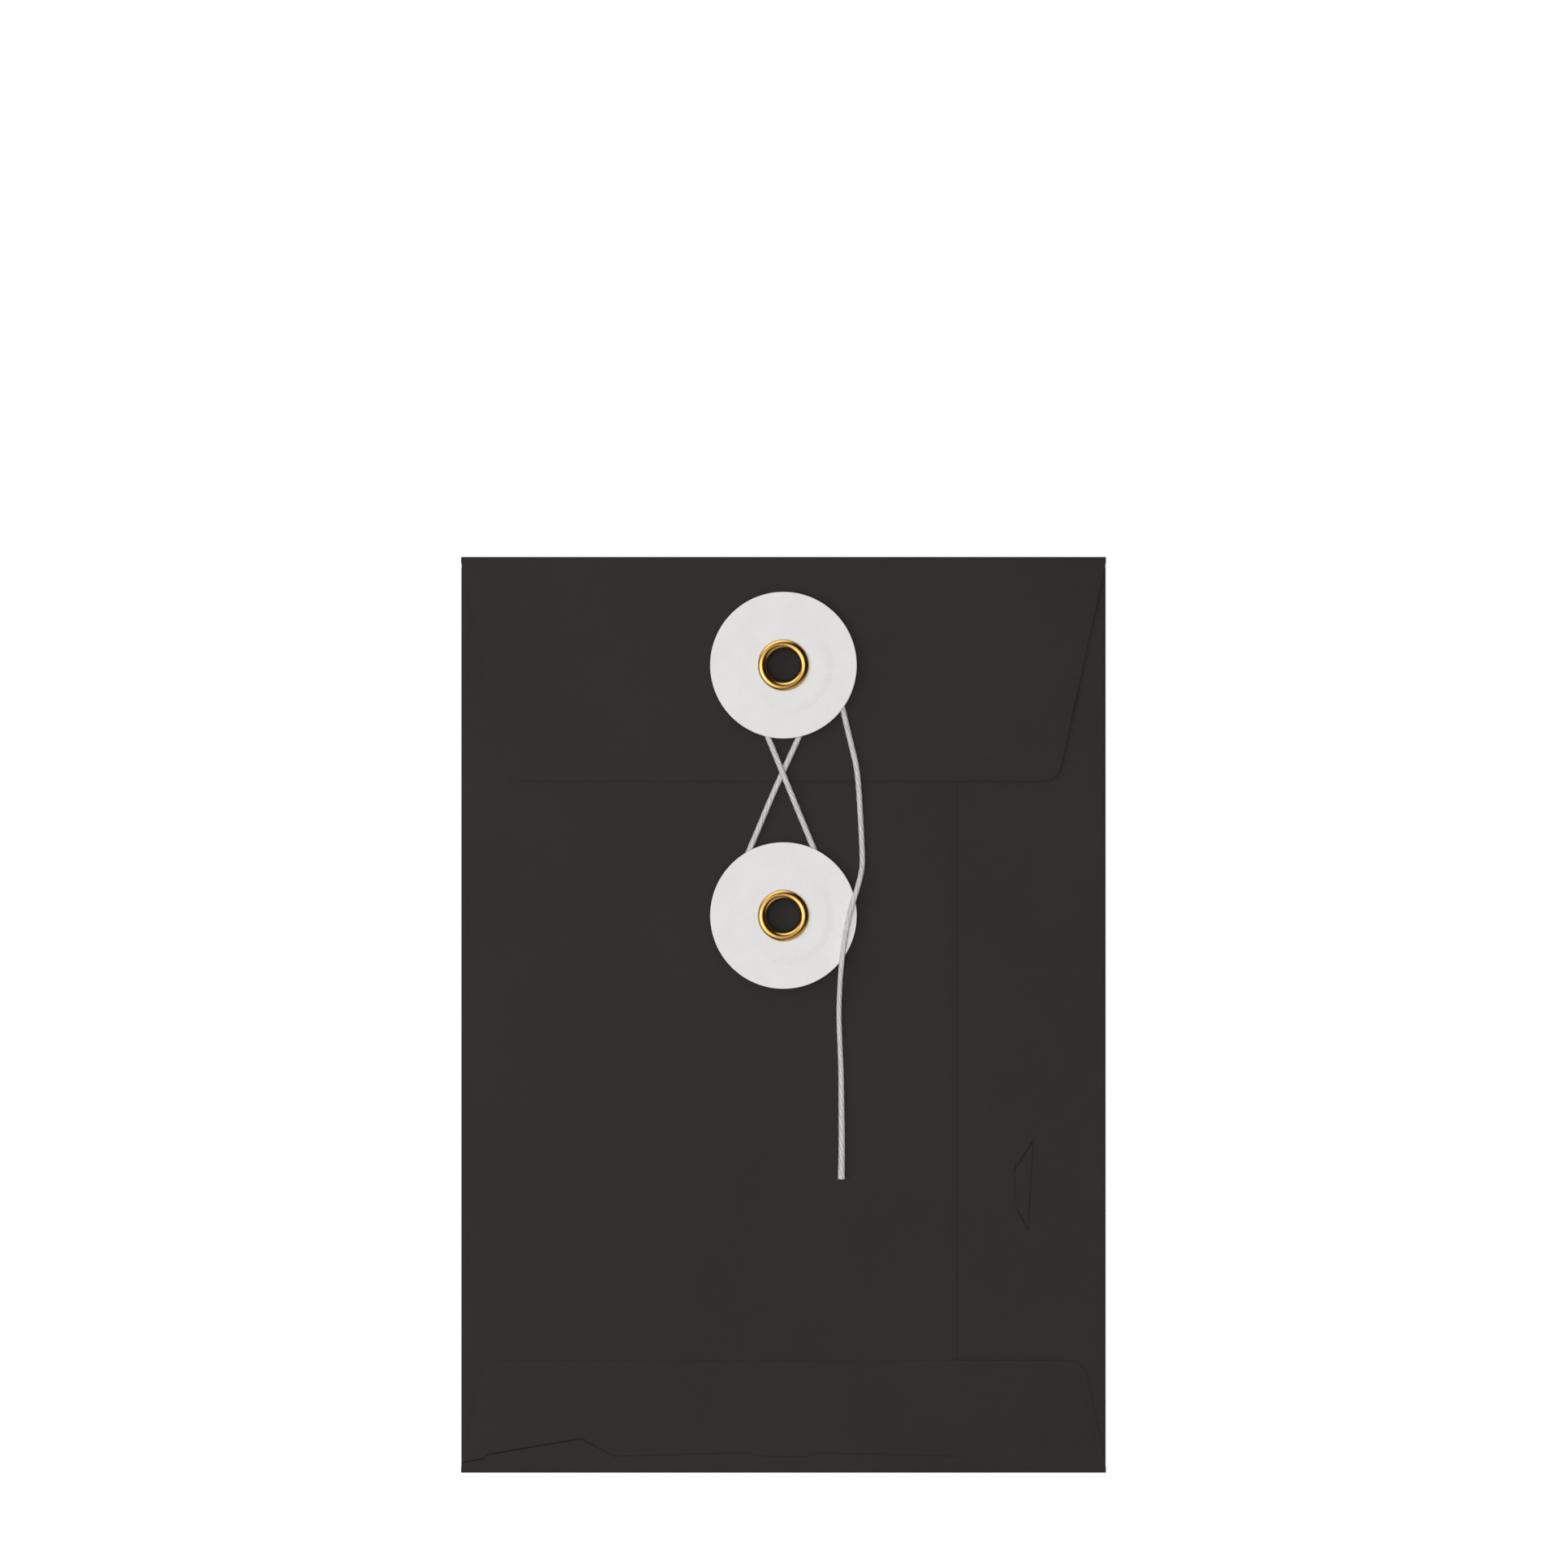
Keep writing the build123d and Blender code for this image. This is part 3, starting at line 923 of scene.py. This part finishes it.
# String: tied round the upper eyelet, a figure of eight between the washers, and a free tail.
# X and Y are from the upper eyelet's axis. Heights are above the layer that the string lies on.
string = {
    "diameter": 0.0010,
    "openShare": 0.22,  # of its reach down the envelope, once it is slack on the open flap
    "gather": -0.0134,  # where it is drawn together, at the upper washer's rim
    "gatherAxis": (0.0, 0.99993, 0.012),
    "rest": 0.00003,  # clear of the layer beneath
    "barrelRadius": 0.00325,
    "barrelGap": 0.00010,
    "strandDown": [(0.00245, -0.01330), (-0.00558, -0.03167)],
    "underBend": (-0.00180, -0.02250),  # the lower strand gives way a little at the crossing
    "strandUp": [(0.00469, -0.03080), (-0.00241, -0.01350)],
    "crossingReach": 0.0016,  # from the crossing to the hump's two points
    "crossingPress": 0.00008,  # the strands are pressed together this much
    "tail": [
        ("flap", [(0.01045, -0.00770), (0.01202, -0.01420), (0.01282, -0.01745), (0.01318, -0.02020)]),
        ("back", [(0.01336, -0.02260), (0.01372, -0.02860), (0.01393, -0.03320)]),
        ("edge", [(0.01394, -0.03590)]),
        ("washer", [(0.01308, -0.03930), (0.01175, -0.04340), (0.01080, -0.04820), (0.01015, -0.05340)]),
        ("edge", [(0.00988, -0.05800)]),
        ("back", [(0.00978, -0.06200), (0.00997, -0.06680), (0.01019, -0.07150)]),
        ("back", [(0.01024, -0.07800), (0.01034, -0.08560), (0.01022, -0.09085)]),
    ],
    "fullAt": [0.0, 0.30, 0.60, 0.75, 0.88, 0.97, 1.0],  # share of the tail's length
    "fullness": [1.02, 0.98, 0.90, 0.95, 1.10, 1.18, 1.28],  # width there, the cut end is loose
    "edgeShare": 0.25,  # how far up the washer the string is where it climbs its edge
    "anchorAngles": (-40.0, -360.0),
    "anchorCorners": 7,
    "loopCorners": 6,
    "wrapCorners": 5,
    "pitch": 0.0076,  # one turn of the plies, laid to the left
    "plies": 4,
    "grooveShare": 0.12,
    "groovePower": 2.6,
    "yarnTurn": 900.0,  # radians a metre that the fibres turn back in each ply
    "ringGap": 0.00013,
    "sides": 36,
    "cutRound": 0.00014,
    "curveSteps": 24,
    "curveOrder": 3,
    "sharpAngle": 1.2,
}
stringRadius = string["diameter"] / 2


def turnCorners(centre, angles, radii, corners, level):
    # corners of a polygon drawn round a turn of string, whose sides touch the turn
    step = np.radians(angles[1] - angles[0]) / corners
    index = np.arange(corners)
    angle = np.radians(angles[0]) + step * (index + 0.5)
    radius = (radii[0] + (radii[1] - radii[0]) * index / (corners - 1)) / np.cos(step / 2)
    flat = np.stack([centre[0] + radius * np.cos(angle), centre[1] + radius * np.sin(angle)], axis=-1)
    return [(*point, level) for point in flat]


def nearestOnLine(centre, line):
    # distance and direction from a centre to a straight strand, as a radius and degrees
    first = np.array(line[0])
    along = np.subtract(line[1], first) / np.linalg.norm(np.subtract(line[1], first))
    foot = first + along * np.dot(np.subtract(centre, first), along) - centre
    return np.linalg.norm(foot), np.degrees(np.arctan2(foot[1], foot[0])) % 360


def stringRoute():
    onFlap = flapTop + string["rest"] + stringRadius
    onBack = backTop + string["rest"] + stringRadius
    onWasher = nodeBox("lower_washer")[1, 2] + string["rest"] + stringRadius
    edge = onBack + string["edgeShare"] * (onWasher - onBack)
    heights = {"flap": onFlap, "back": onBack, "washer": onWasher, "edge": edge}
    lower = tuple(lowerAxis - upperAxis)
    down, up = string["strandDown"], string["strandUp"]
    tail = [(x, y, heights[layer]) for layer, spots in string["tail"] for x, y in spots]

    anchor = string["barrelRadius"] + string["barrelGap"] + stringRadius
    points = turnCorners((0, 0), string["anchorAngles"], (anchor, anchor), string["anchorCorners"], onFlap)
    slope = (down[1][1] - down[0][1]) / (down[1][0] - down[0][0])
    points.append((anchor, down[0][1] + slope * (anchor - down[0][0]), onFlap))
    points += [(*down[0], onFlap), (*string["underBend"], onFlap), (*down[1], onBack)]

    downRadius, downAngle = nearestOnLine(lower, down)
    upRadius, upAngle = nearestOnLine(lower, up)
    angles = (downAngle, upAngle + 360)
    points += turnCorners(lower, angles, (downRadius, upRadius), string["loopCorners"], onBack)

    upRun = np.subtract(up[1], up[0])
    downRun = np.subtract(down[1], down[0])
    gap = np.subtract(down[0], up[0])
    share = (gap[0] * downRun[1] - gap[1] * downRun[0]) / (upRun[0] * downRun[1] - upRun[1] * downRun[0])
    over = np.array(up[0]) + upRun * share
    reach = upRun / np.linalg.norm(upRun) * string["crossingReach"]
    top = onFlap + string["diameter"] - string["crossingPress"]
    points += [(*up[0], onBack), (*(over - reach), top), (*(over + reach), top), (*up[1], onFlap)]

    wrapRadius, wrapAngle = nearestOnLine((0, 0), up)
    exitRadius, exitAngle = nearestOnLine((0, 0), [tail[0][:2], tail[1][:2]])
    angles = (wrapAngle, exitAngle)
    points += turnCorners((0, 0), angles, (wrapRadius, exitRadius), string["wrapCorners"], onFlap)
    points += tail
    route = np.array(points)
    route[:, :2] += upperAxis
    route[:, 2] += paperLift(route[:, 0], route[:, 1])
    return route, len(tail)


def splinePoints(route):
    # the smooth line whose control points are the route's, as Blender draws it
    curve = bpy.data.curves.new("stringLine", "CURVE")
    curve.dimensions = "3D"
    curve.resolution_u = string["curveSteps"]
    spline = curve.splines.new("NURBS")
    spline.points.add(len(route) - 1)
    spline.points.foreach_set("co", np.column_stack([route, np.ones(len(route))]).ravel())
    spline.order_u = string["curveOrder"]
    spline.use_endpoint_u = True
    holder = newObject("stringLine", curve)
    bpy.context.view_layer.update()
    line = bpy.data.meshes.new_from_object(holder)
    points = np.zeros(len(line.vertices) * 3)
    line.vertices.foreach_get("co", points)
    bpy.data.objects.remove(holder)
    bpy.data.curves.remove(curve)
    bpy.data.meshes.remove(line)
    return points.reshape(-1, 3)


def makeTieString():
    route, tailPoints = stringRoute()
    line = splinePoints(route)
    run = np.concatenate([[0], np.cumsum(np.linalg.norm(np.diff(line, axis=0), axis=1))])
    length = run[-1]
    along = np.linspace(0, length, int(length / string["ringGap"]))
    path = np.stack([np.interp(along, run, line[:, axis]) for axis in range(3)], axis=-1)
    heading = np.gradient(path, axis=0)
    heading /= np.linalg.norm(heading, axis=1)[:, None]
    side = np.cross((0, 0, 1), heading)
    side /= np.linalg.norm(side, axis=1)[:, None]
    upright = np.cross(heading, side)

    # the radius dips towards the joint between two plies, and the section turns as it goes
    angle = np.arange(string["sides"]) / string["sides"] * turn
    plySpan = turn / string["plies"]
    offset = np.abs((angle + plySpan / 2) % plySpan - plySpan / 2) / (plySpan / 2)
    groove = offset ** string["groovePower"]
    fromEnd = np.minimum(along, length - along)
    cut = np.sqrt(1 - (1 - np.clip(fromEnd / string["cutRound"], 0, 1)) ** 2)
    shrink = string["cutRound"] * (1 - cut)
    tailStart = length - np.linalg.norm(np.diff(route[-tailPoints:], axis=0), axis=1).sum()
    full = np.interp((along - tailStart) / (length - tailStart), string["fullAt"], string["fullness"])
    crest = (stringRadius * full)[:, None]
    radius = crest * (1 - string["grooveShare"] * groove)[None, :] - shrink[:, None]
    lay = angle[None, :] - turn * along[:, None] / string["pitch"]
    across = (radius * np.cos(lay))[:, :, None] * side[:, None, :]
    raised = (radius * np.sin(lay))[:, :, None] * upright[:, None, :]
    points = (path[:, None, :] + across + raised).reshape(-1, 3)

    quads = gridFaces(len(along), string["sides"], False, True)
    first = np.arange(string["sides"])
    faces = quads.tolist() + [first[::-1].tolist(), (first + (len(along) - 1) * string["sides"]).tolist()]
    yarn = angle[None, :] + string["yarnTurn"] * along[:, None]
    fibres = np.stack([
        stringRadius * np.cos(yarn),
        stringRadius * np.sin(yarn),
        np.broadcast_to(along[:, None], yarn.shape),
    ], axis=-1).reshape(-1, 3)
    attributes = {"lay": fibres, "groove": np.broadcast_to(groove, yarn.shape).ravel()}
    piece = newPiece("tieString", points, faces, stringMaterial, attributes, string["sharpAngle"])
    place(piece, "flap", "string", "string_winding", "string_tail")
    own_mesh(piece)
    print("string length", round(length, 4))


makeTieString()
print("string made")


# Camera straight above, framed as the photograph is
photo = {
    "pixels": 1932,
    "metresPerPixel": 0.00014353,
    "envelopeCentre": (965.35, 1250.45),
    "lens": 150.0,
    "sensor": 36.0,
    "focusHeight": 0.0015,
}


def makeCamera():
    scale = photo["metresPerPixel"]
    middle = photo["pixels"] / 2
    centreX, centreY = photo["envelopeCentre"]
    distance = photo["pixels"] * scale * photo["lens"] / photo["sensor"]
    height = photo["focusHeight"] + distance
    data = bpy.data.cameras.new("camera")
    data.lens = photo["lens"]
    data.sensor_width = photo["sensor"]
    camera = newObject("camera", data)
    camera.location = ((middle - centreX) * scale, (centreY - middle) * scale, height)
    bpy.context.scene.camera = camera


makeCamera()
print("camera placed")


# Studio: white surroundings, soft lamps above and at the left, and a tent that only mirror rays see
studio = {
    "fill": 0.14,  # of the world's light
    "lamps": [  # place, size and power
        ((-0.07, 0.02, 1.40), 0.60, 14.5),
        ((-0.42, 0.10, 0.44), 0.45, 0.95),
    ],
    "floorSize": 6.0,
    "floorDrop": 0.00005,
    "floorBounce": (0.80, 0.80, 0.80, 1),
    "floorShade": (0.40, 0.40, 0.40, 1),
    "floorGlow": 0.68,
    "floorFade": (0.14, 0.45),  # plain white from here on
    "sharpAngle": 3.0,  # no edge of the floor or the tent is sharp
    "tentRadius": 0.70,
    "tentRows": 40,
    "tentColumns": 96,
    "tentDark": 0.02,
    "tentPanels": [  # direction and height in radians, full and faded reach, brightness
        (3.40, 1.00, 0.15, 0.82, 2.00),
        (1.95, 0.35, 0.25, 0.85, 1.50),
        (-1.00, 0.35, 0.20, 0.90, 0.50),
    ],
}


def seenDirectly(tree):
    # 1 for rays from the camera and for mirror and clear rays
    rays = newNode(tree, "LightPath", {})
    share = calculate(tree, "MAXIMUM", rays["Is Camera Ray"], rays["Is Glossy Ray"])
    return calculate(tree, "MAXIMUM", share, rays["Is Transmission Ray"])


def makeWorld():
    world = bpy.data.worlds.new("studioWorld")
    bpy.context.scene.world = world
    world.use_nodes = True
    tree = world.node_tree
    background = tree.nodes["Background"]
    background.inputs["Color"].default_value = (1, 1, 1, 1)
    strength = remap(tree, seenDirectly(tree), (0.0, 1.0), (studio["fill"], 1.0))
    feed(tree, background.inputs["Strength"], strength)


def bareMaterial(name):
    # a material with no shader yet, its nodes and the socket that takes the shader
    material, tree, shader = newMaterial(name)
    tree.nodes.remove(shader)
    return material, tree, tree.nodes["Material Output"].inputs["Surface"]


def makeFloor():
    # bounces light as a white floor, and is seen as a pale one that fades to plain white
    material, tree, surface = bareMaterial("studioFloor")
    bounce = newNode(tree, "BsdfDiffuse", {"Color": studio["floorBounce"]})[0]
    shade = newNode(tree, "BsdfDiffuse", {"Color": studio["floorShade"]})[0]
    glow = newNode(tree, "Emission", {"Strength": studio["floorGlow"]})[0]
    near = newNode(tree, "AddShader", {0: shade, 1: glow})[0]
    far = newNode(tree, "Emission", {"Strength": 1.0})[0]
    distance = newNode(tree, "VectorMath", {0: objectPlace(tree)}, operation="LENGTH")["Value"]
    fade = remap(tree, distance, studio["floorFade"], (0.0, 1.0))
    seen = newNode(tree, "MixShader", {0: fade, 1: near, 2: far})[0]
    feed(tree, surface, newNode(tree, "MixShader", {0: seenDirectly(tree), 1: bounce, 2: seen})[0])
    half = studio["floorSize"] / 2
    corners = np.array([(-half, -half), (half, -half), (half, half), (-half, half)])
    points = np.column_stack([corners, np.full(len(corners), -studio["floorDrop"])])
    floor = newPiece("studioFloor", points, [[0, 1, 2, 3]], material, {}, studio["sharpAngle"])


def makeTent():
    # a half globe, dark, with bright panels that fade out at their edges
    columns = studio["tentColumns"]
    azimuth = (np.arange(columns) / columns * turn)[None, :]
    height = np.linspace(0, np.pi / 2, studio["tentRows"])[:-1, None]
    towards = np.stack(np.broadcast_arrays(
        np.cos(height) * np.cos(azimuth), np.cos(height) * np.sin(azimuth), np.sin(height)
    ), axis=-1).reshape(-1, 3)
    towards = np.concatenate([towards, [(0.0, 0.0, 1.0)]])
    glow = np.full(len(towards), studio["tentDark"])
    for around, up, full, faded, brightness in studio["tentPanels"]:
        middle = np.array([np.cos(up) * np.cos(around), np.cos(up) * np.sin(around), np.sin(up)])
        away = np.arccos((towards @ middle).clip(-1, 1))
        glow = np.maximum(glow, brightness * smoothStep((faded - away) / (faded - full)))
    rows = studio["tentRows"] - 1
    last = columns * (rows - 1) + np.arange(columns)
    faces = list(gridFaces(rows, columns, False, True))
    faces = faces + np.column_stack([last, np.roll(last, -1), np.full(columns, columns * rows)]).tolist()
    material, tree, surface = bareMaterial("lightTent")
    strength = attributeOf(tree, "glow", "Fac")
    feed(tree, surface, newNode(tree, "Emission", {"Strength": strength})[0])
    material.cycles.emission_sampling = "NONE"
    points = towards * studio["tentRadius"]
    tent = newPiece("lightTent", points, faces, material, {"glow": glow}, studio["sharpAngle"])
    tent.visible_camera = False
    tent.visible_diffuse = False
    tent.visible_shadow = False
    tent.visible_transmission = False


def makeLamps():
    for index, (spot, size, power) in enumerate(studio["lamps"]):
        data = bpy.data.lights.new("softLamp" + str(index), "AREA")
        data.shape = "DISK"
        data.size = size
        data.energy = power
        lamp = newObject(data.name, data)
        lamp.location = spot
        lamp.visible_camera = False
        lamp.visible_glossy = False
        lamp.rotation_mode = "QUATERNION"
        lamp.rotation_quaternion = (-lamp.location).to_track_quat("-Z", "Y")


makeWorld()
makeFloor()
makeTent()
makeLamps()
bpy.context.scene.view_settings.view_transform = "Standard"
print("studio made")
